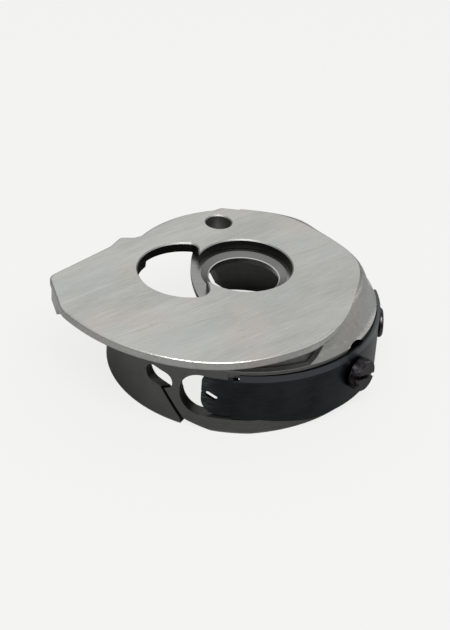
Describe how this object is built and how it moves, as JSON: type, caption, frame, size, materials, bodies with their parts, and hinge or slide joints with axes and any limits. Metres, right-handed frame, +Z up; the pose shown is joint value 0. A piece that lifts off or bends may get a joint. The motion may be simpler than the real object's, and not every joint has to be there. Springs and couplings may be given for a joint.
{
  "type": "bobbin case",
  "caption": "Cup-shaped steel bobbin case with a flat spiral flange and finger, a keyhole latch slide, a forked leaf tension spring and its adjusting screw.",
  "frame": {"origin": "on the hook axis, in the plane of the cup's open rim", "axes": "+Z up along the hook axis from the open rim to the flange; -Y is the front, where the free end of the tension spring is; +X is the right, the way the latch slide is pushed to unlatch"},
  "size_m": [0.0296, 0.0274, 0.0096],
  "materials": {
    "case_steel": "satin ground and polished",
    "slide_steel": "satin",
    "spring_wire": "drawn wire",
    "cover_steel": "satin",
    "cover_screw_steel": "satin",
    "blued_spring_steel": "dark blued, satin",
    "adjusting_screw_black": "blackened",
    "fixing_screw_black": "blackened",
    "brake_spring_steel": "rolled strip",
    "rivet_steel": "plain"
  },
  "bodies": {
    "case": {"case_body": "case_steel", "latch_cover": "cover_steel", "latch_cover_screws": "cover_screw_steel", "tension_fixing_screw": "fixing_screw_black", "anti_spin_rivets": "rivet_steel", "latch_spring": "spring_wire"},
    "latch": {"latch_slide": "slide_steel"},
    "tension_leaf": {"tension_spring": "blued_spring_steel"},
    "adjusting_screw": {"tension_adjusting_screw": "adjusting_screw_black"},
    "anti_spin_leaf": {"anti_spin_spring": "brake_spring_steel"}
  },
  "joints": [
    {"name": "latch_travel", "type": "slide", "parent": "case", "child": "latch", "axis": [1, 0, 0], "range_m": [0, 0.001], "stiffness_N_per_m": 200, "springref_m": -0.001, "deforming": ["latch_spring"]},
    {"name": "tension_leaf_lift", "type": "hinge", "parent": "case", "child": "tension_leaf", "pos_m": [0.01198, 0.00063, 0.00405], "axis": [0, 0, 1], "range_deg": [0, 0.8], "stiffness_Nm_per_rad": 0.2, "springref_deg": -1.15},
    {"name": "adjusting_screw_turn", "type": "hinge", "parent": "case", "child": "adjusting_screw", "pos_m": [0.01009, -0.0065, 0.00355], "axis": [0.8406, -0.5417, 0], "range_deg": [-180, 180]},
    {"name": "anti_spin_leaf_lift", "type": "hinge", "parent": "case", "child": "anti_spin_leaf", "pos_m": [0.00266, 0.00626, 0.00755], "axis": [-0.7071, -0.7071, 0], "range_deg": [0, 4], "stiffness_Nm_per_rad": 0.02, "springref_deg": -2.86}
  ]
}
